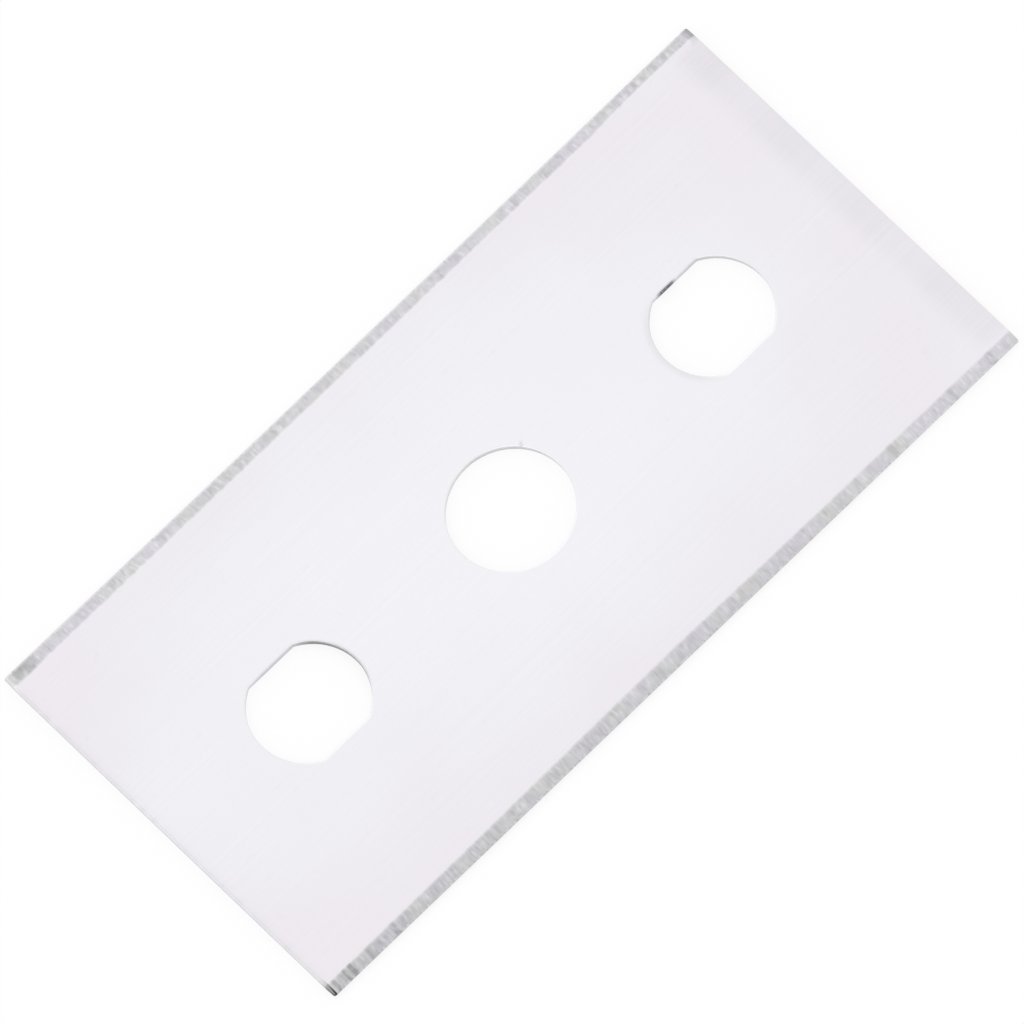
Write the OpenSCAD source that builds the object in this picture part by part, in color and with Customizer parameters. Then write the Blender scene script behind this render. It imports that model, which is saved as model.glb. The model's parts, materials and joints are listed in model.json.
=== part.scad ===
// Three-hole blade, ground along both long edges.
// It lies on its lower face. The origin is under the middle of the centre hole, with X along the
// cutting edges, Y across the blade and Z up.

/* [Strip] */
// Length of the blade, along its cutting edges
blade_length = 43; // [40:0.5:60]
// Width of the blade, from one cutting edge to the other
blade_width = 22; // [18:0.5:30]
// Thickness of the strip steel
strip_thickness = 0.4; // [0.2:0.05:0.6]

/* [Cutting edges] */
// Width of each ground band, from the flat face out to the cutting edge
ground_band = 0.7; // [0.4:0.05:1.2]
// Width of the narrow honed facet at the cutting edge, as a part of that band
honed_facet = 0.1; // [0.05:0.01:0.2]
// Thickness of the steel where the honed facet starts
honed_thickness = 0.07; // [0.04:0.01:0.12]

/* [Holes] */
// Distance from the middle of the centre hole to the middle of each outer hole
hole_pitch = 12.7; // [11:0.1:15]
// Diameter of the round centre hole
centre_hole = 6; // [4:0.1:7]
// Diameter of the round stretches of each outer hole
outer_hole = 5.8; // [4:0.1:7]
// Distance between the two flats of each outer hole, which run along the blade
outer_flats = 5.1; // [3.5:0.1:5.6]

/* [Hidden] */

$fn = 96;

// How far each cut runs past the faces that it opens
overrun = 1;

// The cross-section's corners on the right-hand side, from the middle of the blade outwards
edge_y = blade_width / 2;
honed_y = edge_y - honed_facet;
face_y = edge_y - ground_band;
face_z = strip_thickness / 2;
honed_z = honed_thickness / 2;

// Half of the cross-section, from the top face round the cutting edge to the lower face
right_side = [
    [face_y, face_z],
    [honed_y, honed_z],
    [edge_y, 0],
    [honed_y, -honed_z],
    [face_y, -face_z],
];

// The other half is the same corners turned half way round the middle
left_side = [for (corner = right_side) -corner];

// The cross-section, in Y and Z, about the middle of the strip
module cross_section() {
    polygon(concat(right_side, left_side));
}

// The strip with its ground bands and honed facets, before the holes are punched
module ground_strip() {
    rotate([90, 0, 90])
        linear_extrude(height = blade_length, center = true)
            cross_section();
}

// A round punch of one diameter, through the whole thickness
module round_punch(diameter) {
    cylinder(h = strip_thickness + 2 * overrun, d = diameter, center = true);
}

// The punch of an outer hole: round, with a flat on the side of each cutting edge
module flatted_punch() {
    intersection() {
        round_punch(outer_hole);
        cube([outer_hole + 2 * overrun, outer_flats, strip_thickness + 2 * overrun], center = true);
    }
}

// The blade: one piece of hardened strip steel
module blade() {
    color("gainsboro")
        translate([0, 0, face_z])
            difference() {
                ground_strip();
                round_punch(centre_hole);
                for (side = [-1, 1])
                    translate([side * hole_pitch, 0, 0])
                        flatted_punch();
            }
}

blade();
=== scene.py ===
"""Three-hole, double-edged blade of hardened strip steel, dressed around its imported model.

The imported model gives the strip's length, width and thickness and the place and radius of each hole.
What it leaves out, such as grinding marks, rolled rims and torn walls, is given here. Sizes are in
millimetres up to the point where a corner goes into the mesh, which is in metres.
"""

import json
import logging
import math
import random
from bisect import bisect_left, bisect_right
from collections.abc import Mapping, Sequence
from dataclasses import dataclass
from enum import Enum
from itertools import pairwise

import bmesh
import bpy
from mathutils import Matrix, Vector, noise


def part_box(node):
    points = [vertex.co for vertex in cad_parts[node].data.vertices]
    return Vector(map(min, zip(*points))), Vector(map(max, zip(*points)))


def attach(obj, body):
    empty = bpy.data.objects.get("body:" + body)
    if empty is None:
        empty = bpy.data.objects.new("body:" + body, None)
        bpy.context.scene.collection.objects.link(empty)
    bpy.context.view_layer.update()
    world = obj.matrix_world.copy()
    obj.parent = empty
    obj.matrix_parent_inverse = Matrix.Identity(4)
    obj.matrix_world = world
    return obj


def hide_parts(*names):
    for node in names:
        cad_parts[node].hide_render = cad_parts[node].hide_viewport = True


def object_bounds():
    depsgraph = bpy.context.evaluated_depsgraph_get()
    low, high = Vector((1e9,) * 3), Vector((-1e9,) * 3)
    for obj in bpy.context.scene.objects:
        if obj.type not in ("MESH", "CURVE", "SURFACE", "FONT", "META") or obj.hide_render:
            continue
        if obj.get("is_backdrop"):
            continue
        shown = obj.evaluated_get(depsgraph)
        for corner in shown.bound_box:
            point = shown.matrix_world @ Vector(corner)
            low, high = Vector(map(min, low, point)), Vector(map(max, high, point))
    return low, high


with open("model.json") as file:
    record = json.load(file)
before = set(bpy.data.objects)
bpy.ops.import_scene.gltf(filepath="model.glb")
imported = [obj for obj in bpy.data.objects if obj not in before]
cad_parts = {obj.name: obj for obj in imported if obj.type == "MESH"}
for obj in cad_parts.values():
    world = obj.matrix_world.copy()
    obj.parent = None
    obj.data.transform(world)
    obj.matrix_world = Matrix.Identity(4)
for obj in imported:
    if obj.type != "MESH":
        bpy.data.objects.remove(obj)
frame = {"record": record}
CAD_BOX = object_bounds()

LOG = logging.getLogger("three_hole_blade")

# Metres in a millimetre
MM = 0.001

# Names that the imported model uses
BLADE_NODE = "blade"
BLADE_BODY = "root"

# Blender's own types
Corner = bmesh.types.BMVert
Material = bpy.types.Material
Node = bpy.types.Node
Object = bpy.types.Object
Socket = bpy.types.NodeSocket
Tree = bpy.types.NodeTree

# A place on the blade, as X, Y and Z in millimetres
Place = tuple[float, float, float]

# A value that changes along the blade, as the X and the value of each point on its line
Course = tuple[tuple[float, float], ...]

# Positions on a colour ramp with their sRGB colours, lowest position first
Stops = tuple[tuple[float, str], ...]


class Surface(Enum):
    """The surfaces that the blade's finishes go on, each with the number of its material slot."""

    FACE = 0
    GROUND = 1
    HONED = 2
    PUNCHED = 3
    SHEARED = 4


class Side(Enum):
    """The two sides of the strip, each as the way it faces along Z."""

    UPPER = 1
    LOWER = -1


class Mark(Enum):
    """What each corner of the mesh carries for the finishes to read.

    CROWN is 1 along the middle of a ground band and 0 at its borders. The tear mark runs from 0 to 1 and
    also carries the painted shade on the hole walls that face -X and -Y and on the face beside some rims.
    WEAR runs from -1, where the steel is scored dull, to 1, where it is bright.
    """

    CROWN = "crown"
    TEAR = "tear"
    WEAR = "wear"

    def add(self, tree: Tree, places: Node) -> Socket:
        """Adds a node that reads the mark, whatever the places are."""
        return add_node(tree, "Attribute", {"attribute_name": self.value}).outputs["Fac"]


def fade(distance: float, reach: float) -> float:
    """Falls smoothly from 1 to 0 as a distance, to either side, grows to its reach."""
    near = min(1.0, max(0.0, 1 - abs(distance) / reach))
    return near * near * (3 - 2 * near)


def between(start: float, end: float, share: float) -> float:
    """Gives the value that lies at a share of the way from start to end."""
    return start + (end - start) * share


def even_steps(start: float, end: float, steps: int) -> list[float]:
    """Gives the values from start to end, both included, that lie evenly apart."""
    return [between(start, end, step / steps) for step in range(steps + 1)]


def follow(course: Course, x: float) -> float:
    """Gives the value of a course at an X.

    Args:
        course: the points that its smooth line goes through, in the order of X.
        x: where to read it.

    Returns:
        The value. Past the last point it stays as it is there, and an empty course is 0.
    """
    value = course[0][1] if course else 0.0
    for (start, low), (end, high) in pairwise(course):
        if x > start:
            value = between(high, low, fade(min(x, end) - start, end - start))
    return value


def uneven(along: float, seed: float, layer: float) -> float:
    """Gives the unevenness at a place along a line, about -1 to 1, in patches about 1 long."""
    return noise.noise(Vector((along, seed, layer)))


# How many times a depth that starts at a border fills up on the way across
FILLS = 4.0


def filled(share: float) -> float:
    """Gives how full a depth is at a share of the way across from the border where it starts."""
    return min(1.0, FILLS * share)


def add_object(name: str, data: bpy.types.ID, matrix: Matrix | None = None) -> Object:
    """Adds an object to the scene.

    Args:
        name: the object's name.
        data: its mesh, lamp or camera.
        matrix: its place and turn, if it isn't at the origin.

    Returns:
        The object.
    """
    added = bpy.data.objects.new(name, data)
    if matrix is not None:
        added.matrix_world = matrix
    bpy.context.scene.collection.objects.link(added)
    return added


class Skin:
    """A closed skin of faces, whose patches share their corners wherever they meet."""

    # Corners nearer to each other than this are one corner
    WELD = 0.0001

    # Two faces that meet at a sharper turn than this have a sharp edge between them
    SHARP_TURN = math.radians(12)

    # Surfaces that meet at a crisp line even where the turn is slight
    CRISP_PAIR = {Surface.GROUND.value, Surface.HONED.value}

    # A face with fewer corners than this has no area
    FEWEST_CORNERS = 3

    def __init__(self) -> None:
        """Starts an empty skin, with a layer for each kind of mark."""
        self.mesh = bmesh.new()
        self.layers = {mark: self.mesh.verts.layers.float.new(mark.value) for mark in Mark}
        self.corners: dict[tuple[int, ...], Corner] = {}

    def corner(self, place: Place, marks: Mapping[Mark, float]) -> Corner:
        """Finds the corner at a place, or adds it with its marks.

        Args:
            place: where the corner is.
            marks: the marks that a new corner gets. One that isn't named is 0.

        Returns:
            The corner.
        """
        key = tuple(round(value / self.WELD) for value in place)
        found = self.corners.get(key)
        if found is None:
            found = self.mesh.verts.new([value * MM for value in place])
            for mark, value in marks.items():
                found[self.layers[mark]] = value
            self.corners[key] = found
        return found

    def face(self, corners: Sequence[Corner], surface: Surface) -> None:
        """Adds one face, leaving out corners that fall together.

        Args:
            corners: the corners in order round the face.
            surface: the surface that it is part of.
        """
        ring = [corner for index, corner in enumerate(corners) if corner is not corners[index - 1]]
        if len(ring) >= self.FEWEST_CORNERS:
            face = self.mesh.faces.new(ring)
            face.material_index = surface.value
            face.smooth = True

    def patch(self, rows: Sequence[Sequence[Corner]], surface: Surface) -> None:
        """Fills the space between rows of corners with four-sided faces.

        Args:
            rows: rows of equally many corners. A closed row repeats its first corner at its end.
            surface: the surface that they are part of.
        """
        for near, far in pairwise(rows):
            for index in range(len(near) - 1):
                self.face((near[index], near[index + 1], far[index + 1], far[index]), surface)

    def is_sharp(self, edge: bmesh.types.BMEdge) -> bool:
        """Says whether the faces at an edge meet at a crisp line."""
        surfaces = {face.material_index for face in edge.link_faces}
        return surfaces == self.CRISP_PAIR or edge.calc_face_angle(0.0) > self.SHARP_TURN

    def piece(self, name: str, finishes: Mapping[Surface, "SteelFinish"]) -> Object:
        """Turns the skin into an object that carries its finishes.

        Args:
            name: the object's name.
            finishes: the finish of each surface.

        Returns:
            The object, linked to the scene.
        """
        bmesh.ops.recalc_face_normals(self.mesh, faces=self.mesh.faces)
        for edge in self.mesh.edges:
            edge.smooth = not self.is_sharp(edge)
        mesh = bpy.data.meshes.new(name)
        self.mesh.to_mesh(mesh)
        self.mesh.free()
        for surface in Surface:
            mesh.materials.append(finishes[surface].material())
        return add_object(name, mesh)


# The sRGB curve: straight up to its toe, and above that a power of the raised value
TOE = 0.04045
TOE_SLOPE = 12.92
RAISE = 0.055
POWER = 2.4


def linear(code: str) -> tuple[float, float, float, float]:
    """Turns an sRGB colour into a linear one.

    Args:
        code: the colour as a hash sign and six hex digits.

    Returns:
        Its linear red, green and blue, and an alpha of 1.
    """
    shares = [value / 255 for value in bytes.fromhex(code[1:])]
    red, green, blue = (
        share / TOE_SLOPE if share <= TOE else ((share + RAISE) / (1 + RAISE)) ** POWER for share in shares
    )
    return red, green, blue, 1.0


def empty_tree(owner: Material | bpy.types.World) -> Tree:
    """Gives a material or a world its own node tree.

    Args:
        owner: the material or world.

    Returns:
        The tree, with nothing in it yet.
    """
    owner.use_nodes = True
    owner.node_tree.nodes.clear()
    return owner.node_tree


def add_node(
    tree: Tree,
    kind: str,
    settings: Mapping[str | int, object] | None = None,
    links: Mapping[str | int, Node | Socket | None] | None = None,
    stops: Stops = (),
) -> Node:
    """Adds a node with its settings and its links.

    Args:
        tree: the node tree that it goes into.
        kind: the node's type, after the words that every type starts with.
        settings: its values, each under the name of a property, or the name or number of an input.
        links: what feeds it, each under the name or number of an input. A node feeds it from the first
            of its outputs that is in use, and None leaves the input as it is.
        stops: what a colour ramp runs through.

    Returns:
        The node.
    """
    node = tree.nodes.new("ShaderNode" + kind)
    for name, value in (settings or {}).items():
        if isinstance(name, str) and hasattr(node, name):
            setattr(node, name, value)
        else:
            node.inputs[name].default_value = value
    for name, source in (links or {}).items():
        if isinstance(source, Node):
            source = next(output for output in source.outputs if output.enabled)
        if source is not None:
            tree.links.new(source, node.inputs[name])
    for index, (position, colour) in enumerate(stops):
        elements = node.color_ramp.elements
        stop = elements[index] if index < len(elements) else elements.new(position)
        stop.position = position
        stop.color = linear(colour)
    return node


@dataclass(frozen=True)
class Grain:
    """An uneven pattern round 0.5, given by the sizes of its patches along X, Y and Z in millimetres.

    Unequal sizes stretch the patches into marks. Its detail is how much finer unevenness it also has.
    """

    sizes: Place
    detail: float

    def add(self, tree: Tree, places: Node) -> Node:
        """Adds the pattern to a node tree, over places in millimetres."""
        scaled = add_node(tree, "VectorMath", {"operation": "DIVIDE", 1: self.sizes}, {0: places})
        return add_node(tree, "TexNoise", {"Scale": 1.0, "Detail": self.detail}, {"Vector": scaled})


@dataclass(frozen=True)
class Distance:
    """The distance from a middle, which is 1 at its reach along X, Y or Z, all in millimetres."""

    middle: Place
    reach: Place

    def add(self, tree: Tree, places: Node) -> Node:
        """Adds the distance to a node tree.

        Args:
            tree: the node tree that it goes into.
            places: the places that it is over, in millimetres.

        Returns:
            The node that gives the distance.
        """
        settings = {"vector_type": "TEXTURE", "Location": self.middle, "Scale": self.reach}
        from_middle = add_node(tree, "Mapping", settings, {"Vector": places})
        return add_node(tree, "VectorMath", {"operation": "LENGTH"}, {0: from_middle})


# A reach, in millimetres, so long that its axis doesn't count
FAR = 100000.0

# What a finish can be patterned by
Source = Grain | Distance | Mark


@dataclass(frozen=True)
class Layer:
    """One layer of a sum.

    It adds the first of two values where its source is at the lower end of its span or below it, the
    second where that is at the upper end or above it, and less of both where its mask is under 1.
    """

    source: Source
    adds: tuple[float, float]
    span: tuple[float, float] = (0.0, 1.0)
    mask: Mark | None = None

    def add(self, tree: Tree, made: Mapping[Source, Node | Socket], total: Node | None) -> Node:
        """Adds the layer to those before it.

        Args:
            tree: the material's node tree.
            made: the node of each source.
            total: the sum of the layers before it, if there are any.

        Returns:
            The sum with this layer.
        """
        settings = dict(zip(("From Min", "From Max", "To Min", "To Max"), self.span + self.adds))
        value = add_node(tree, "MapRange", settings, {"Value": made[self.source]})
        links = {0: value, 1: made.get(self.mask), 2: total}
        return add_node(tree, "Math", {"operation": "MULTIPLY_ADD", 1: 1.0, 2: 0.0}, links)


Layers = tuple[Layer, ...]

# Numbers of a colour Mix node's inputs, whose names its other data types share
MIX_SHARE = 0
MIX_FIRST = 6
MIX_SECOND = 7


@dataclass(frozen=True)
class SteelFinish:
    """One finish of hardened strip steel: a metal, with the default IOR.

    The sum of its tone's layers picks a colour from its colours, which its tint, if it has one, then
    multiplies. It is smoother than its roughness where its gloss is high and rougher where that is low,
    each by the spread, and without a gloss of its own its tone stands for that. Where the steel is torn,
    and where shade is painted on and beside the holes, it takes its torn colour, more in the hollows of its
    relief and less on its heights, each by the tear grain, and smudges take that colour too.
    """

    name: str
    roughness: float
    spread: float
    torn_and_shade_colour: str
    tear_grain: float
    relief: Grain
    relief_depth: float
    tone: Layers
    colours: Stops
    gloss: Grain | None = None
    tint: Grain | None = None
    tint_share: float = 1.0
    tint_colours: Stops = ((0.0, "#000000"), (1.0, "#FFFFFF"))
    smudges: Layers = ()

    # Most of a grain's heights lie between these
    HEIGHTS = (0.3, 0.7)

    def material(self) -> Material:
        """Makes the finish's material.

        Returns:
            A metal material, patterned by the finish's layers.
        """
        material = bpy.data.materials.new(self.name)
        tree = empty_tree(material)
        metres = add_node(tree, "TexCoord").outputs["Object"]
        places = add_node(tree, "VectorMath", {"operation": "SCALE", "Scale": 1 / MM}, {0: metres})
        tears = Layer(self.relief, (1 + self.tear_grain, 1 - self.tear_grain), self.HEIGHTS, Mark.TEAR)
        layers = (*self.tone, tears, *self.smudges)
        sources = [self.gloss, self.tint]
        for layer in layers:
            sources += [layer.source, layer.mask]
        made = {source: source.add(tree, places) for source in dict.fromkeys(sources) if source}
        tone = torn = None
        for layer in self.tone:
            tone = layer.add(tree, made, tone)
        # The tear layer also lays the torn colour where shade is painted at the holes
        for layer in (tears, *self.smudges):
            torn = layer.add(tree, made, torn)
        colour = add_node(tree, "ValToRGB", links={"Fac": tone}, stops=self.colours)
        if self.tint:
            tint = add_node(tree, "ValToRGB", links={"Fac": made[self.tint]}, stops=self.tint_colours)
            blend = {"data_type": "RGBA", "blend_type": "MULTIPLY", MIX_SHARE: self.tint_share}
            colour = add_node(tree, "Mix", blend, {MIX_FIRST: colour, MIX_SECOND: tint})
        colour = add_node(
            tree,
            "Mix",
            {"data_type": "RGBA", MIX_SECOND: linear(self.torn_and_shade_colour)},
            {MIX_SHARE: torn, MIX_FIRST: colour},
        )
        roughness = add_node(
            tree,
            "MapRange",
            {"To Min": self.roughness + self.spread, "To Max": self.roughness - self.spread},
            {"Value": made.get(self.gloss, tone)},
        )
        depth = {"Strength": 1.0, "Distance": self.relief_depth * MM}
        relief = add_node(tree, "Bump", depth, {"Height": made[self.relief]})
        links = {"Base Color": colour, "Roughness": roughness, "Normal": relief}
        shader = add_node(tree, "BsdfPrincipled", {"Metallic": 1.0}, links)
        add_node(tree, "OutputMaterial", links={"Surface": shader})
        return material


@dataclass(frozen=True)
class PolishedStripSteel(SteelFinish):
    """Hardened carbon steel strip, cold rolled and then polished.

    To the eye it is an even, pale mirror gone soft: faint cloudy tints from tempering, rolling lines along
    the strip that only just show, and a few smudges. A painted shade makes it darker towards the borders
    and warmer at the corners. The real lines are about 0.02 mm apart, too fine for the picture, so they
    are drawn 0.12 mm apart.
    """

    CLOUDS = Grain(sizes=(8.0, 8.0, 8.0), detail=1.5)
    LINES = Grain(sizes=(12.0, 0.12, 1.0), detail=2.0)
    SMUDGES = Grain(sizes=(0.45, 0.45, 0.45), detail=1.0)
    # Painted shade: the face is drawn darker and warmer towards its borders and corners
    PAINTED_SHADE_FROM_MIDDLE = Distance(middle=(-2.5, 0.8, 0.0), reach=(21.5, 10.0, FAR))

    name: str = "cold_rolled_polished_strip_steel"
    roughness: float = 0.25
    spread: float = 0.04
    # Also the colour of the painted shade on the face beside some holes' rims
    torn_and_shade_colour: str = "#A9A9AB"
    tear_grain: float = 0.1
    relief: Grain = LINES
    relief_depth: float = 0.0004
    # The second layer of the tone is the painted shade from the middle
    tone: Layers = (Layer(CLOUDS, (-0.55, 0.55)), Layer(PAINTED_SHADE_FROM_MIDDLE, (1.0, 0.0), span=(0.2, 1.2)))
    colours: Stops = ((0.0, "#EEEAF0"), (0.4, "#F0EFF4"), (0.9, "#F3F2F7"))
    gloss: Grain = CLOUDS
    tint: Grain = LINES
    tint_share: float = 0.03
    smudges: Layers = (Layer(SMUDGES, (0.0, 0.035), span=(0.68, 0.8)),)


@dataclass(frozen=True)
class CrossGroundSteel(SteelFinish):
    """Hardened steel ground by a wheel that runs across the edge.

    To the eye it is a grey, silky band, crossed from side to side by fine straight lines and by broader,
    softer streaks, with short light ticks along its middle. The real lines of a 240 grit wheel are about
    0.06 mm apart, and are drawn twice as far apart so that they show.
    """

    LINES = Grain(sizes=(0.12, 1.1, 1.1), detail=2.0)
    STREAKS = Grain(sizes=(0.28, 0.6, 0.6), detail=1.0)
    TICKS = Grain(sizes=(0.13, 0.5, 0.5), detail=0.0)

    name: str = "cross_ground_steel"
    roughness: float = 0.38
    spread: float = 0.04
    torn_and_shade_colour: str = "#3C3C3F"
    tear_grain: float = 0.3
    relief: Grain = LINES
    relief_depth: float = 0.0005

    # The lines also bring the middle tone, and the others only stray from it
    tone: Layers = (
        Layer(LINES, (0.365, 0.635)),
        Layer(STREAKS, (-0.25, 0.25)),
        Layer(TICKS, (0.0, 0.28), span=(0.5, 0.8), mask=Mark.CROWN),
        Layer(Mark.WEAR, (-1.0, 1.0), span=(-2.0, 2.0)),
    )
    colours: Stops = ((0.0, "#9C9C9E"), (0.5, "#CAC9CC"), (1.0, "#E4E3E6"))
    tint: Grain = Grain(sizes=(1.6, 1.6, 1.6), detail=1.0)
    tint_colours: Stops = ((0.45, "#FAF9FC"), (0.63, "#FBFCFA"))


@dataclass(frozen=True)
class HonedSteel(SteelFinish):
    """Hardened steel honed to its cutting edge on a fine stone.

    To the eye it is a thin, even line along the edge, a little duller than the ground band, with
    hair-fine strokes across it.
    """

    STROKES = Grain(sizes=(0.09, 0.6, 0.6), detail=2.0)

    name: str = "honed_steel"
    roughness: float = 0.31
    spread: float = 0.06
    torn_and_shade_colour: str = "#2E2E31"
    tear_grain: float = 0.2
    relief: Grain = STROKES
    relief_depth: float = 0.0006
    tone: Layers = (Layer(STROKES, (0.0, 1.0)), Layer(Mark.WEAR, (-1.0, 1.0), span=(-2.0, 2.0)))
    colours: Stops = ((0.0, "#9C9C9E"), (0.7, "#D4D3D6"))
    gloss: Grain = STROKES


@dataclass(frozen=True)
class CutSteel(SteelFinish):
    """Hardened steel strip as a punch or a shear leaves it.

    To the eye the top third of the cut is a burnished land that starts at a ragged line, and the rest is
    torn, duller and grainy. Where the tool dragged, the tear is dark.
    """

    HEIGHT = Distance(middle=(0.0, 0.0, 0.0), reach=(FAR, FAR, 1.0))
    DRAGS = Grain(sizes=(0.09, 0.09, 1.0), detail=1.0)
    GRAINS = Grain(sizes=(0.045, 0.045, 0.12), detail=3.0)

    name: str = "cut_steel"
    roughness: float = 0.44
    spread: float = 0.13
    # Also the colour of the painted shade on the hole walls that face -X and -Y
    torn_and_shade_colour: str = "#4A4A4D"
    tear_grain: float = 0.25
    relief: Grain = GRAINS
    relief_depth: float = 0.0024
    tone: Layers = (Layer(HEIGHT, (-1.0, 1.0), span=(0.21, 0.31)), Layer(DRAGS, (0.0, 1.0)))
    colours: Stops = ((0.0, "#E6E5E8"), (1.0, "#F0EFF1"))
    tint: Grain = GRAINS
    tint_share: float = 0.12


@dataclass(frozen=True)
class Strip:
    """The strip that the blade is cut from, with its middle at the origin and its lower side at 0."""

    half_length: float
    half_width: float
    half_thickness: float

    @classmethod
    def of_node(cls, node: str) -> "Strip":
        """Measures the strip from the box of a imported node."""
        low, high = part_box(node)
        return cls(*((top - bottom) / MM / 2 for bottom, top in zip(low, high)))

    @property
    def thickness(self) -> float:
        """The height of its upper side."""
        return 2 * self.half_thickness

    def to_end(self, x: float) -> float:
        """Gives how far an X is from the nearer cut end."""
        return self.half_length - abs(x)


@dataclass(frozen=True)
class Part:
    """One part of the blade, which is cut from the strip and whose faces go into the skin."""

    skin: Skin
    strip: Strip
    name: str


@dataclass(frozen=True)
class ShearCut:
    """The section of a sheared or punched cut: a rolled rim, a burnished land and a leaning tear."""

    roll_width: float
    roll_depth: float = 0.03
    roll_rows: int = 5
    land_share: float = 0.33
    lean: float = 0.015
    grain_depth: float = 0.006
    grain_size: float = 0.09
    wall_shares: tuple[float, ...] = (0.0, 0.16, 0.33, 0.42, 0.55, 0.7, 0.85, 1.0)

    # How many times the grain fills up on the way down the tear
    GRAIN_FILLS = 3.0

    def rim_offsets(self) -> list[float]:
        """Gives the distances of the rolled rim's rows from the wall, nearest first."""
        turns = even_steps(math.pi / 2, 0.0, self.roll_rows)
        return [self.roll_width * (1 - math.sin(turn)) for turn in turns]

    def rim_drop(self, offset: float) -> float:
        """Gives how far the face has sunk at a distance from the wall, which is most at the wall."""
        reach = min(1.0, max(0.0, 1 - offset / self.roll_width))
        return self.roll_depth * (1 - math.sqrt(1 - reach * reach))

    def setback(self, share: float, place: Place) -> float:
        """Gives how far the wall stands back from the cut's line.

        Args:
            share: how far down the wall the point is, from 0 at its top to 1 at its foot.
            place: the point on the cut's line, which picks its grain.

        Returns:
            The setback, which is nothing on the burnished land.
        """
        torn = max(0.0, share - self.land_share) / (1 - self.land_share)
        grain = (noise.noise(Vector(place) / self.grain_size) + 1) / 2
        return torn * self.lean + min(1.0, self.GRAIN_FILLS * torn) * self.grain_depth * grain


# The cuts of the punched holes and of the sheared ends
PUNCH = ShearCut(roll_width=0.08)
SHEAR = ShearCut(roll_width=0.18)


@dataclass(frozen=True)
class Blemish:
    """A dark stretch, torn or scored, or at a hole a painted shade.

    Its middle and its reach are degrees round a hole, or millimetres along a cut end or a band. One on
    the face beside a hole fades out over its length.
    """

    middle: float
    reach: float
    strength: float
    length: float = 0.0

    def at(self, place: float) -> float:
        """Gives how dark a place is, which is even over the middle half of the stretch."""
        return self.strength * min(1.0, 2 * fade(place - self.middle, self.reach))

    def round_at(self, turn: float) -> float:
        """Gives how dark a direction round a hole is, in degrees."""
        return self.at((turn - self.middle + 180) % 360 - 180 + self.middle)


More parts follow.
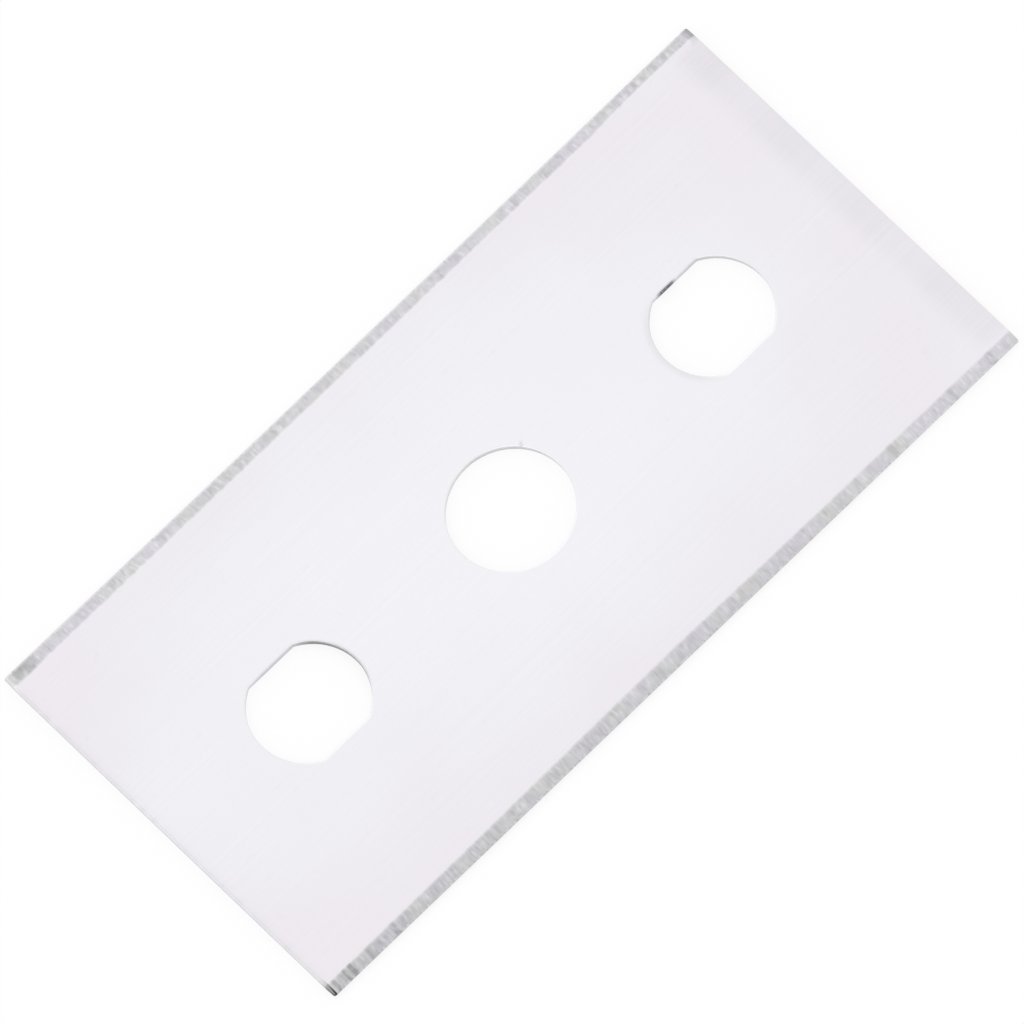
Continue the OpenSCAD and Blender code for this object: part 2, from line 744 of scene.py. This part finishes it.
@dataclass(frozen=True)
class PunchedHole(Part):
    """One punched hole: round, or round with a flat towards each cutting edge.

    Its middle is an X, its flat is the distance from there to each flat, and its square is half the side
    of the square of face round it.
    """

    middle: float
    radius: float
    square: float
    flat: float = math.inf
    # The tears also carry painted shade on the walls that face -X and -Y, and the scratches painted shade on
    # the face beside some rims
    tears: tuple[Blemish, ...] = ()
    scratches: tuple[Blemish, ...] = ()
    plain_tear: float = 0.03
    side_steps: int = 36
    near_offsets: tuple[float, ...] = (0.13, 0.24, 0.36)
    square_shares: tuple[float, ...] = (0.1, 0.22, 0.36, 0.51, 0.67, 0.83, 1.0)
    foot_offset: float = 0.06
    rim_reach: float = 0.1

    def turns(self) -> list[float]:
        """Gives the directions of the hole's corners, with one on each end of each flat.

        Returns:
            The directions in degrees, from the square's lower right corner once round to it again.
        """
        step = 90 / self.side_steps
        turns = [-45 + step * index for index in range(4 * self.side_steps)]
        if self.flat < self.radius:
            end = math.degrees(math.asin(self.flat / self.radius))
            for target in (end, 180 - end, 180 + end, 360 - end):
                nearest = min(range(len(turns)), key=lambda index: abs(turns[index] - target))
                turns[nearest] = target
        return turns + [turns[0] + 360]

    def outline(self, turn: float, offset: float) -> tuple[float, float]:
        """Gives a point at a distance outside the hole's outline.

        Args:
            turn: the direction from the hole's middle, in degrees.
            offset: the distance outside the outline.

        Returns:
            X and Y of the point.
        """
        angle = math.radians(turn)
        reach = self.radius + offset
        if abs(math.sin(angle)) * reach > self.flat + offset:
            reach = (self.flat + offset) / abs(math.sin(angle))
        return self.middle + reach * math.cos(angle), reach * math.sin(angle)

    def square_point(self, index: int) -> tuple[float, float]:
        """Gives a point on the square round the hole.

        Args:
            index: its number, from the square's lower right corner.

        Returns:
            X and Y of the point.
        """
        side, step = divmod(index, self.side_steps)
        along = between(-self.square, self.square, step / self.side_steps)
        quarter = Matrix.Rotation(math.radians(90 * side), 2) @ Vector((self.square, along))
        return self.middle + quarter.x, quarter.y

    def tear_and_shade_at(self, turn: float, offset: float = 0.0) -> float:
        """Gives how torn the wall or the face beside it is, together with the painted shade there.

        Args:
            turn: the direction from the hole's middle, in degrees.
            offset: the distance outside the hole's outline, which is 0 on the wall.

        Returns:
            The tear with the painted shade, from 0 to 1.
        """
        if offset:
            # On the face, the wall's tear and painted shade run on over the rim
            rolled = self.tear_and_shade_at(turn) * fade(offset, self.rim_reach)
            scratches = (mark.round_at(turn) * fade(offset, mark.length) for mark in self.scratches)
            return max([rolled, *scratches])
        return max([self.plain_tear, *(tear.round_at(turn) for tear in self.tears)])

    def ring(self, height: float, offset: float = 0.0, share: float = 0.0) -> list[Corner]:
        """Adds one closed ring of corners on the face round the hole, or on its wall.

        Args:
            height: its Z.
            offset: its distance outside the hole's outline. On the wall it is 0.
            share: how far it has turned into the square round the hole, or how far down the wall it is.

        Returns:
            The ring's corners.
        """
        ring = []
        for index, turn in enumerate(self.turns()):
            if offset:
                ends = zip(self.outline(turn, offset), self.square_point(index))
                x, y = (between(near, far, share) for near, far in ends)
            else:
                x, y = self.outline(turn, PUNCH.setback(share, (*self.outline(turn, 0.0), height)))
            # Besides tears, this carries the painted shade of the walls and of the face beside the rims
            torn = 0.0 if offset and share else self.tear_and_shade_at(turn, offset)
            ring.append(self.skin.corner((x, y, height), {Mark.TEAR: torn}))
        return ring

    def build(self) -> None:
        """Adds the hole's wall and rims and the square of face round it, on both sides."""
        top = self.strip.thickness
        rim = top - PUNCH.roll_depth
        walls = [self.ring(between(rim, 0.0, share), share=share) for share in PUNCH.wall_shares]
        self.skin.patch(walls, Surface.PUNCHED)
        rolled = [self.ring(top - PUNCH.rim_drop(offset), offset) for offset in PUNCH.rim_offsets()[1:]]
        steep = len(rolled) // 2
        self.skin.patch([walls[0], *rolled[:steep]], Surface.PUNCHED)
        for height, inner, offsets in (
            (top, rolled[steep - 1 :], self.near_offsets),
            (0.0, walls[-1:], (self.foot_offset, *self.near_offsets)),
        ):
            near = [self.ring(height, offset) for offset in offsets]
            far = [self.ring(height, offsets[-1], share) for share in self.square_shares]
            self.skin.patch([*inner, *near, *far], Surface.FACE)


@dataclass(frozen=True)
class BandEnd:
    """What a ground band is drawn with at one of its ends.

    The tone reaches tone_reach along the band. A broken corner slants down over break_reach, and its
    tones are those at the face and at the cutting edge. Deep scores are placed by their distance from
    the end.
    """

    toward: int
    tone: float = 0.0
    tone_reach: float = 1.0
    break_reach: float = 0.0
    break_share: float = 0.0
    break_tones: tuple[float, float] = (0.5, 1.0)
    streak_gain: float = 0.0
    streak_reach: float = 1.0
    scores: tuple[Blemish, ...] = ()


@dataclass(frozen=True)
class GrindingMark:
    """One mark of the grinding wheel, straight across the band."""

    place: float
    skew: float
    half_width: float
    depth: float
    start: float
    end: float

    def depth_at(self, x: float, across: float) -> float:
        """Gives how deep the mark is at a place on the band."""
        offset = x - self.place - self.skew * across
        return self.depth * fade(offset, self.half_width) if self.start <= across <= self.end else 0.0


@dataclass(frozen=True)
class GroundEdge(Part):
    """One long edge of the blade: a ground band on each side, and honed facets at the edge itself.

    A share across the band runs from 0 at the face to 1 at the cutting edge. The inner line gives how
    far outwards the band's border with the face lies from its place, and the outer line how far the
    cutting edge stands back.
    """

    toward: int
    seed: int
    ends: tuple[BandEnd, ...]
    wear: Course
    inner_line: Course
    outer_line: Course = ()
    band: float = 0.7
    facet: float = 0.1
    facet_thickness: float = 0.07
    facet_rows: int = 2
    band_shares: tuple[float, ...] = (0.0, 0.05, 0.18, 0.34, 0.5, 0.66, 0.82, 0.95, 1.0)
    mark_spacing: tuple[float, float] = (0.12, 0.3)
    mark_width: tuple[float, float] = (0.04, 0.1)
    mark_depth: tuple[float, float] = (0.0005, 0.002)
    mark_skew: float = 0.03
    mark_starts: tuple[float, ...] = (0.0, 0.0, 0.2, 0.4)
    mark_ends: tuple[float, ...] = (1.0, 1.0, 0.75, 0.55)
    mark_share: float = 0.24
    line_wander: float = 0.016
    line_tremble: float = 0.006
    tremble_length: float = 0.15
    nick_depth: float = 0.02
    nick_length: float = 0.12
    nick_spacing: float = 0.8
    tip: float = 0.1
    crown_middle: float = 0.4
    crown_reach: float = 0.5
    border_wear: float = 0.9
    edge_wear: float = 0.0
    border_reach: float = 0.2

    # Layers of unevenness that say how deep the cutting edge is nicked, and where
    NICK_LAYER = 0.0
    NICK_PLACE_LAYER = 5.0

    @property
    def face_line(self) -> float:
        """The distance from the blade's middle line to the band's border with the face."""
        return self.strip.half_width - self.band

    @property
    def facet_share(self) -> float:
        """How far across the band its honed facet starts."""
        return 1 - self.facet / self.band

    def ground_rows(self) -> list[float]:
        """Gives how far across each row of the ground band is."""
        return [share * self.facet_share for share in self.band_shares]

    def honed_rows(self) -> list[float]:
        """Gives how far across each row of the honed facet is, past the last one of the band."""
        return even_steps(self.facet_share, 1.0, self.facet_rows)[1:]

    def marks(self, side: Side) -> list[GrindingMark]:
        """Gives the grinding marks of one side's band.

        Args:
            side: the side that the band is on.

        Returns:
            The marks in the order of their places, from one end to the other.
        """
        dice = random.Random(f"{self.seed} {side.name}")
        marks = []
        place = -self.strip.half_length
        while place < self.strip.half_length:
            place += dice.uniform(*self.mark_spacing)
            skew = dice.uniform(-self.mark_skew, self.mark_skew)
            half_width = dice.uniform(*self.mark_width)
            depth = dice.uniform(*self.mark_depth)
            start = dice.choice(self.mark_starts)
            marks.append(GrindingMark(place, skew, half_width, depth, start, dice.choice(self.mark_ends)))
        return marks

    def half_height(self, across: float) -> float:
        """Gives half of the steel's thickness on the band.

        Args:
            across: how far across the band.

        Returns:
            Half of the thickness, which is nothing at the cutting edge.
        """
        half_facet = self.facet_thickness / 2
        if across <= self.facet_share:
            return between(self.strip.half_thickness, half_facet, across / self.facet_share)
        return between(half_facet, 0.0, (across - self.facet_share) / (1 - self.facet_share))

    def wander(self, x: float, side: Side) -> float:
        """Gives how far outwards the band's inner line strays from its place, at an X."""
        slow, quick = (uneven(x / length, self.seed, side.value) for length in (1.0, self.tremble_length))
        return follow(self.inner_line, x) + slow * self.line_wander + quick * self.line_tremble

    def edge_setback(self, x: float) -> float:
        """Gives how far the cutting edge stands back.

        Args:
            x: where along the edge.

        Returns:
            The setback by its line, its nicks and its soft tips.
        """
        depth = uneven(x / self.nick_length, self.seed, self.NICK_LAYER)
        gate = uneven(x / self.nick_spacing, self.seed, self.NICK_PLACE_LAYER)
        nick = self.nick_depth * max(0.0, depth) * max(0.0, gate)
        reach = min(1.0, max(0.0, 1 - self.strip.to_end(x) / self.tip))
        return follow(self.outer_line, x) + nick + self.tip * (1 - math.sqrt(1 - reach**2))

    def ends_near(self, x: float) -> list[BandEnd]:
        """Gives the band's ends that lie on the same side of its middle as an X."""
        return [end for end in self.ends if end.toward * x > 0]

    def place(self, side: Side, x: float, across: float, grind: float = 0.0) -> Place:
        """Gives a point of the band or its facet.

        Args:
            side: the side of the strip.
            x: its X.
            across: how far across the band it is.
            grind: how deep the grinding marks are there.

        Returns:
            The point's place.
        """
        inner = self.face_line + self.wander(x, side)
        outer = self.strip.half_width - self.edge_setback(x)
        flat_half = self.half_height(across)
        full_share = flat_half / self.strip.half_thickness
        half = flat_half - grind * filled(full_share)
        if side is Side.UPPER:
            half -= SHEAR.rim_drop(self.strip.to_end(x)) * full_share
            for end in self.ends_near(x):
                if end.break_reach:
                    slant = max(0.0, 1 - self.strip.to_end(x) / end.break_reach)
                    half -= flat_half * end.break_share * slant * filled(across)
        height = self.strip.half_thickness + side.value * half
        return x, self.toward * between(inner, outer, across), height

    def marks_at(self, x: float, across: float, grind: float) -> dict[Mark, float]:
        """Gives what a corner of the band carries.

        Args:
            x: where along the band.
            across: how far across the band.
            grind: how deep the grinding marks are there.

        Returns:
            Its crown, how dark it is drawn near the cut ends, and how bright the wheel and handling did.
        """
        to_end = self.strip.to_end(x)
        torn, scored, gain = 0.0, 0.0, 1.0
        for end in self.ends_near(x):
            torn = max(torn, end.tone * fade(to_end, end.tone_reach))
            if to_end < end.break_reach:
                torn = max(torn, between(*end.break_tones, across))
            scored = max([scored, *(score.at(to_end) for score in end.scores)])
            gain += end.streak_gain * fade(to_end, end.streak_reach)
        marked = self.mark_share * gain * min(1.0, grind / self.mark_depth[1])
        rubbed = self.border_wear * fade(across, self.border_reach)
        rubbed += self.edge_wear * fade(1 - across, self.border_reach)
        return {
            Mark.CROWN: fade(across - self.crown_middle, self.crown_reach),
            Mark.TEAR: torn,
            Mark.WEAR: follow(self.wear, x) + rubbed - max(marked, scored),
        }

    def row(self, side: Side, columns: Sequence[float], across: float) -> list[Corner]:
        """Adds one row of corners along the band.

        The grinding marks leave out its borders with the face and with the cut ends, whose corners the
        other patches share.

        Args:
            side: the side of the strip.
            columns: the X of each corner.
            across: how far across the band the row is.

        Returns:
            The row's corners.
        """
        marks = self.marks(side)
        places = [mark.place for mark in marks]
        reach = self.mark_width[1] + self.mark_skew
        row = []
        for x in columns:
            near = marks[bisect_left(places, x - reach) : bisect_right(places, x + reach)]
            inside = across > 0.0 and self.strip.to_end(x) >= Skin.WELD
            grind = max([0.0, *(mark.depth_at(x, across) for mark in near if inside)])
            place = self.place(side, x, across, grind)
            row.append(self.skin.corner(place, self.marks_at(x, across, grind)))
        return row

    def build(self, columns: Sequence[float]) -> None:
        """Adds the ground bands and honed facets of both sides.

        Args:
            columns: the X of each column of corners.
        """
        for side in Side:
            band = [self.row(side, columns, share) for share in self.ground_rows()]
            self.skin.patch(band, Surface.GROUND)
            facet = [self.row(side, columns, share) for share in self.honed_rows()]
            self.skin.patch([band[-1], *facet], Surface.HONED)


@dataclass(frozen=True)
class ShearedEnd(Part):
    """One cut end of the blade, from cutting edge to cutting edge, with a dull rim above it."""

    toward: int
    rim: Blemish
    tears: tuple[Blemish, ...] = ()
    plain_tear: float = 0.03
    wall_patch: float = 1.5
    rim_patch: float = 0.4

    # Layers of unevenness that make the wall and the rim patchy
    WALL_LAYER = 0.0
    RIM_LAYER = 1.0

    def tear_and_shade_at(self, y: float) -> float:
        """Gives how dark the end is drawn at a Y: torn all along, and darker in its listed stretches."""
        patchy = uneven(y / self.wall_patch, self.toward, self.WALL_LAYER)
        return max([0.0, self.plain_tear * (1 + patchy), *(tear.at(y) for tear in self.tears)])

    def rim_at(self, to_end: float, y: float) -> float:
        """Gives how dull the face is near the end, at a distance from it and a Y."""
        patchy = uneven(y / self.rim_patch, self.toward, self.RIM_LAYER)
        return self.rim.at(to_end) * (1 + patchy)

    def build(self, upper: Sequence[Place], lower: Sequence[Place]) -> None:
        """Adds the end's wall between the borders of the two faces.

        Args:
            upper: the places along the upper border, from one cutting edge to the other.
            lower: the places along the lower border, in the same order.
        """
        rows = []
        for share in SHEAR.wall_shares:
            row = []
            for top, foot in zip(upper, lower):
                x, y, z = (between(start, end, share) for start, end in zip(top, foot))
                height_share = (top[2] - foot[2]) / self.strip.thickness
                setback = SHEAR.setback(share, (x, y, z)) * height_share * filled(min(share, 1 - share))
                place = (x - self.toward * setback, y, z)
                row.append(self.skin.corner(place, {Mark.TEAR: self.tear_and_shade_at(y)}))
            rows.append(row)
        self.skin.patch(rows, Surface.SHEARED)


@dataclass(frozen=True)
class FlatFaces(Part):
    """The blade's two flat faces, apart from the squares round its holes."""

    edges: tuple[GroundEdge, ...]
    ends: tuple[ShearedEnd, ...]
    last_hole: PunchedHole
    end_steps: int = 7
    outer_steps: int = 11
    fine_steps: int = 10
    rolled_steps: int = 2

    @property
    def squares_end(self) -> float:
        """The distance from the blade's middle to where the outermost square ends."""
        return self.last_hole.middle + self.last_hole.square

    def columns(self) -> list[float]:
        """Gives the X of each column of the faces.

        Returns:
            The columns from one cut end to the other, those of the rolled ends included.
        """
        start = self.squares_end
        end = self.strip.half_length
        steps = round(start / self.last_hole.square) * self.last_hole.side_steps
        outer = even_steps(start, end - SHEAR.roll_width, self.end_steps)[1:]
        beyond = outer + [end - offset for offset in reversed(SHEAR.rim_offsets()[:-1])]
        return [-x for x in reversed(beyond)] + even_steps(-start, start, steps) + beyond

    def fine_columns(self, start: float, end: float) -> list[float]:
        """Gives the X of the ground band's columns from one of the faces' columns to the next."""
        rolled = max(abs(start), abs(end)) > self.strip.half_length - SHEAR.roll_width + Skin.WELD
        return even_steps(start, end, self.rolled_steps if rolled else self.fine_steps)

    def band_columns(self) -> list[float]:
        """Gives the X of each column of the ground bands, from one cut end to the other."""
        steps = [self.fine_columns(start, end) for start, end in pairwise(self.columns())]
        return steps[0][:1] + [x for step in steps for x in step[1:]]

    def middle_rows(self) -> list[float]:
        """Gives the Y of each row beside the squares round the holes."""
        return even_steps(-self.last_hole.square, self.last_hole.square, self.last_hole.side_steps)

    def outer_rows(self, edge: GroundEdge) -> list[float]:
        """Gives the Y of each row from the squares out to the last one short of a ground band."""
        return even_steps(self.last_hole.square, edge.face_line, self.outer_steps)[:-1]

    def place(self, side: Side, x: float, y: float) -> Place:
        """Gives the place of a point of one of the faces."""
        drop = SHEAR.rim_drop(self.strip.to_end(x))
        return x, y, self.strip.thickness - drop if side is Side.UPPER else 0.0

    def corner(self, side: Side, x: float, y: float) -> Corner:
        """Finds or adds a corner of one of the faces."""
        end = self.ends[0] if x < 0 else self.ends[1]
        return self.skin.corner(self.place(side, x, y), {Mark.TEAR: end.rim_at(self.strip.to_end(x), y)})

    def build(self) -> None:
        """Adds the two faces up to the squares round the holes and out to the ground bands."""
        columns = self.columns()
        beyond = [x for x in columns if x > self.squares_end - Skin.WELD]
        for side in Side:
            for toward in (-1, 1):
                rows = [[self.corner(side, toward * x, y) for x in beyond] for y in self.middle_rows()]
                self.skin.patch(rows, Surface.FACE)
            for edge in self.edges:
                outer = [edge.toward * y for y in self.outer_rows(edge)]
                rows = [[self.corner(side, x, y) for x in columns] for y in outer]
                self.skin.patch(rows, Surface.FACE)

                # Each step of the last row fans out to the band's many columns
                for index, (start, end) in enumerate(pairwise(columns)):
                    line = edge.row(side, self.fine_columns(start, end), 0.0)
                    self.skin.face([rows[-1][index + 1], rows[-1][index], *line], Surface.FACE)

    def end_border(self, side: Side, toward: int) -> list[Place]:
        """Gives the places along the border of a cut end.

        Args:
            side: the side of the strip.
            toward: the end, as the sign of its X.

        Returns:
            The places from the lower cutting edge in Y to the upper one.
        """
        x = toward * self.strip.half_length
        outer = self.outer_rows(self.edges[0])
        inner = [*(-y for y in reversed(outer)), *self.middle_rows()[1:-1], *outer]
        border = [self.place(side, x, y) for y in inner]
        for edge in self.edges:
            across = [edge.place(side, x, share) for share in edge.ground_rows() + edge.honed_rows()]
            border = [*reversed(across), *border] if edge.toward < 0 else [*border, *across]
        return border


# What sets the parts of one kind apart: the values of their fields, by the names of the parts
Details = dict[str, dict[str, object]]

# The distance from the middle of an outer hole to each of its flats
OUTER_FLAT = 2.55

# What the punch and handling left at each hole, the painted shade on its walls and beside its rim,
# and its flats, by the names of the imported mounts
HOLE_DETAILS: Details = {
    "centre_hole": {
        # Painted shade: a broad, faint dark stretch on the walls that face -X and -Y
        "tears": (Blemish(middle=50, reach=60, strength=0.13),),
        "scratches": (Blemish(middle=37.5, reach=2.6, strength=0.45, length=0.4),),
    },
    "outer_hole_minus_x": {
        "flat": OUTER_FLAT,
        # Painted shade: both dark stretches, on the walls that face -X and -Y
        "tears": (Blemish(middle=14, reach=64, strength=0.68), Blemish(middle=80, reach=45, strength=0.16)),
        # Painted shade on the face beside the rim, on the hole's +X side
        "scratches": (Blemish(middle=2, reach=38, strength=0.55, length=0.16),),
    },
    "outer_hole_plus_x": {
        "flat": OUTER_FLAT,
        # Painted shade: the broad stretch on the walls that face -X and -Y. The narrow one at the flat is a
        # torn patch
        "tears": (Blemish(middle=40, reach=62, strength=0.14), Blemish(middle=101, reach=15, strength=0.84)),
        # Painted shade on the face beside the rim, on the hole's -X side
        "scratches": (Blemish(middle=180, reach=75, strength=0.17, length=0.42),),
    },
}

# What each ground edge carries from the wheel and handling, and its dark ends, by its name
EDGE_DETAILS: Details = {
    "lower_edge": {
        "toward": -1,
        "seed": 11,
        "ends": (
            # The broken corner at this end is drawn dark towards the cutting edge
            BandEnd(
                toward=-1,
                break_reach=0.21,
                break_share=0.8,
                streak_gain=1.0,
                streak_reach=2.2,
                scores=(
                    Blemish(middle=0.42, reach=0.12, strength=0.75),
                    Blemish(middle=1.08, reach=0.12, strength=0.7),
                    Blemish(middle=1.45, reach=0.17, strength=0.9),
                    Blemish(middle=2.65, reach=0.3, strength=0.35),
                    Blemish(middle=4.1, reach=0.2, strength=0.5),
                ),
            ),
            BandEnd(
                toward=1,
                scores=(
                    Blemish(middle=1.5, reach=0.25, strength=0.45),
                    Blemish(middle=3.9, reach=0.2, strength=0.35),
                    Blemish(middle=7.6, reach=0.25, strength=0.4),
                ),
            ),
        ),
        "wear": ((-21.5, -0.15), (0, 0), (21.5, 0.28)),
        "inner_line": ((-21.5, 0.08), (-16, 0.04), (0, -0.08), (11, 0), (21.5, 0.05)),
    },
    "upper_edge": {
        "toward": 1,
        "seed": 23,
        "ends": (
            BandEnd(toward=-1, scores=(Blemish(middle=0.95, reach=0.95, strength=0.55),)),
            BandEnd(toward=1, tone=0.45, tone_reach=0.45),
        ),
        "wear": ((-21.5, 0.6), (-21.2, 0), (14, 0), (21.5, -0.15)),
        "inner_line": ((0, -0.07), (14, -0.05), (18, 0.07), (21.5, 0.08)),
        "outer_line": ((-21.5, 0), (-4, 0.05), (4, 0.05), (21.5, 0)),
        "mark_share": 0.14,
        "edge_wear": 0.6,
    },
}

# What each cut end carries, its dull rim and its dark stretches, by its name
END_DETAILS: Details = {
    "minus_x_end": {
        "toward": -1,
        "rim": Blemish(middle=0, reach=0.24, strength=0.14),
        # The end wall is drawn dark near the lower cutting edge
        "tears": (Blemish(middle=-10.8, reach=0.6, strength=1.0),),
    },
    "plus_x_end": {"toward": 1, "rim": Blemish(middle=0, reach=2.0, strength=0.1), "rim_patch": 2.5},
}

# The finish of each surface
FINISHES: dict[Surface, SteelFinish] = {
    Surface.FACE: PolishedStripSteel(),
    Surface.GROUND: CrossGroundSteel(),
    Surface.HONED: HonedSteel(),
    Surface.PUNCHED: CutSteel(name="punched_steel_wall"),
    Surface.SHEARED: CutSteel(name="sheared_steel_end"),
}


@dataclass(frozen=True)
class Blade:
    """The whole blade: its faces, ground edges, punched holes and sheared ends, as one skin."""

    faces: FlatFaces
    holes: tuple[PunchedHole, ...]
    name: str = "ground_strip_blade"

    @classmethod
    def of_frame(cls) -> "Blade":
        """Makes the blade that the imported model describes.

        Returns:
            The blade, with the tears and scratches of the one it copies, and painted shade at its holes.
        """
        stock = (Skin(), Strip.of_node(BLADE_NODE))
        mounts = {mount["name"]: mount for mount in frame["record"]["mounts"]}
        middles = {name: mounts[name]["pos_m"][0] / MM for name in HOLE_DETAILS}
        square = max(middles.values()) / 2
        holes = tuple(
            PunchedHole(*stock, name, middles[name], mounts[name]["dims"]["r_mm"], square, **details)
            for name, details in HOLE_DETAILS.items()
        )
        edges = tuple(GroundEdge(*stock, name, **details) for name, details in EDGE_DETAILS.items())
        ends = tuple(ShearedEnd(*stock, name, **details) for name, details in END_DETAILS.items())
        return cls(FlatFaces(*stock, "flat_faces", edges, ends, holes[-1]), holes)

    def build(self) -> None:
        """Builds the blade as one piece, which rides on its body and stands for its node."""
        self.faces.build()
        columns = self.faces.band_columns()
        LOG.info("laid out %s", self.faces.name)
        for edge in self.faces.edges:
            edge.build(columns)
            LOG.info("ground %s: %d columns of corners", edge.name, len(columns))
        for hole in self.holes:
            hole.build()
            LOG.info("punched %s: %.1f mm across", hole.name, 2 * hole.radius)
        for end in self.faces.ends:
            end.build(*(self.faces.end_border(side, end.toward) for side in Side))
            LOG.info("sheared %s", end.name)
        piece = self.faces.skin.piece(self.name, FINISHES)
        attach(piece, BLADE_BODY)
        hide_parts(BLADE_NODE)
        LOG.info("built %s: %d faces", piece.name, len(piece.data.polygons))


def facing(azimuth: float, elevation: float, roll: float = 0.0) -> Matrix:
    """Gives the turn of a camera or a lamp that looks back at the blade.

    Args:
        azimuth: where it stands round the blade, in degrees, from -Y at 0 towards +X at 90.
        elevation: how high it stands above the horizon, in degrees.
        roll: how far it is turned about its own line of sight, in degrees.

    Returns:
        A rotation whose third column points from the blade to the camera or lamp.
    """
    round_turn = Matrix.Rotation(math.radians(azimuth), 3, "Z")
    rise = Matrix.Rotation(math.radians(90 - elevation), 3, "X")
    spin = Matrix.Rotation(math.radians(roll), 3, "Z")
    return round_turn @ rise @ spin


@dataclass(frozen=True)
class SoftLamp:
    """A large, square, soft lamp, aimed at the blade. Its sizes are in metres."""

    name: str
    azimuth: float
    elevation: float
    distance: float
    size: float
    brightness: float

    def build(self) -> None:
        """Adds the lamp, which makes a white surface as bright as its brightness says."""
        data = bpy.data.lights.new(self.name, "AREA")
        data.shape = "SQUARE"
        data.size = self.size
        data.energy = self.brightness * math.pi * self.size**2
        turn = facing(self.azimuth, self.elevation)
        add_object(self.name, data, Matrix.Translation(turn.col[2] * self.distance) @ turn.to_4x4())


@dataclass(frozen=True)
class Viewpoint:
    """The photograph's viewpoint. Its lens is so long that the picture has almost no perspective."""

    azimuth: float = -20.782
    elevation: float = 68.361
    roll: float = -24.3045
    lens: float = 1200.0
    sensor: float = 36.0
    distance: float = 1538.66
    aim: Place = (-0.0276, -0.0857, 0.2)
    nearest: float = 100.0
    farthest: float = 6000.0

    def build(self) -> None:
        """Adds the camera and makes it the scene's own."""
        data = bpy.data.cameras.new("camera")
        data.lens = self.lens
        data.sensor_width = self.sensor
        data.clip_start = self.nearest * MM
        data.clip_end = self.farthest * MM
        turn = facing(self.azimuth, self.elevation, self.roll)
        place = (Vector(self.aim) + turn.col[2] * self.distance) * MM
        bpy.context.scene.camera = add_object("camera", data, Matrix.Translation(place) @ turn.to_4x4())


@dataclass(frozen=True)
class Studio:
    """A white floor under an even white sky, with large soft lamps. Its sizes are in metres."""

    white: str = "#FFFFFF"
    sky_light: float = 0.93
    floor_glow: float = 0.8
    floor_size: float = 6.0
    floor_gap: float = 0.00001
    lamps: tuple[SoftLamp, ...] = (
        SoftLamp("key_lamp", azimuth=-60, elevation=58, distance=1.0, size=0.9, brightness=0.3),
        SoftLamp("back_lamp", azimuth=172, elevation=36, distance=1.0, size=0.7, brightness=0.22),
    )

    def seen_share(self, tree: Tree, camera_share: float = 1.0) -> Node:
        """Adds the nodes that tell what the camera and the metal see from what lights the floor.

        Args:
            tree: the node tree that they go into.
            camera_share: what they give for camera rays.

        Returns:
            A node that gives 1 for glossy and transmission rays, and 0 for rays that light.
        """
        rays = add_node(tree, "LightPath").outputs
        seen = add_node(tree, "Math", {"operation": "MULTIPLY", 1: camera_share}, {0: rays["Is Camera Ray"]})
        for kind in ("Is Glossy Ray", "Is Transmission Ray"):
            seen = add_node(tree, "Math", {"operation": "MAXIMUM"}, {0: seen, 1: rays[kind]})
        return seen

    def build_sky(self) -> None:
        """Makes the world: white to the camera and in the metal, and a plain light on the floor."""
        world = bpy.data.worlds.new("white_sky")
        tree = empty_tree(world)
        share = self.seen_share(tree)
        strength = add_node(tree, "MapRange", {"To Min": self.sky_light, "To Max": 1.0}, {"Value": share})
        sky = add_node(tree, "Background", {"Color": linear(self.white)}, {"Strength": strength})
        add_node(tree, "OutputWorld", links={"Surface": sky})
        bpy.context.scene.world = world

    def floor_material(self) -> Material:
        """Makes the floor's material.

        Returns:
            A matte white board that keeps the blade's shadow.
        """
        material = bpy.data.materials.new("matte_white_board")
        tree = empty_tree(material)
        board = add_node(tree, "BsdfDiffuse", {"Color": linear(self.white)})
        glow = add_node(tree, "Emission", {"Color": linear(self.white), "Strength": 1.0})
        share = self.seen_share(tree, self.floor_glow)
        mixed = add_node(tree, "MixShader", links={0: share, 1: board, 2: glow})
        add_node(tree, "OutputMaterial", links={"Surface": mixed})
        return material

    def build_floor(self) -> None:
        """Adds the floor that the blade lies on, which is marked as no part of it."""
        half = self.floor_size / 2
        corners = [(-half, -half), (half, -half), (half, half), (-half, half)]
        mesh = bpy.data.meshes.new("floor")
        mesh.from_pydata([(x, y, -self.floor_gap) for x, y in corners], [], [(0, 1, 2, 3)])
        mesh.materials.append(self.floor_material())
        floor = add_object("floor", mesh)
        floor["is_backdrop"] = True

    def build(self) -> None:
        """Adds the sky, the floor and the lamps."""
        self.build_sky()
        self.build_floor()
        for lamp in self.lamps:
            lamp.build()
            LOG.info("lit by %s", lamp.name)
        bpy.context.scene.view_settings.view_transform = "Standard"


def write_sizes() -> None:
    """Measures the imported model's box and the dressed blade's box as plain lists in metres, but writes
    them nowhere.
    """
    boxes = {"cad": CAD_BOX, "visual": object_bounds()}
    plain = {name: [list(corner) for corner in box] for name, box in boxes.items()}


def main() -> None:
    """Builds the camera, the studio and the blade."""
    logging.basicConfig(level=logging.INFO, format="%(name)s: %(message)s")
    Viewpoint().build()
    Studio().build()
    Blade.of_frame().build()
    write_sizes()


if __name__ == "__main__":
    main()
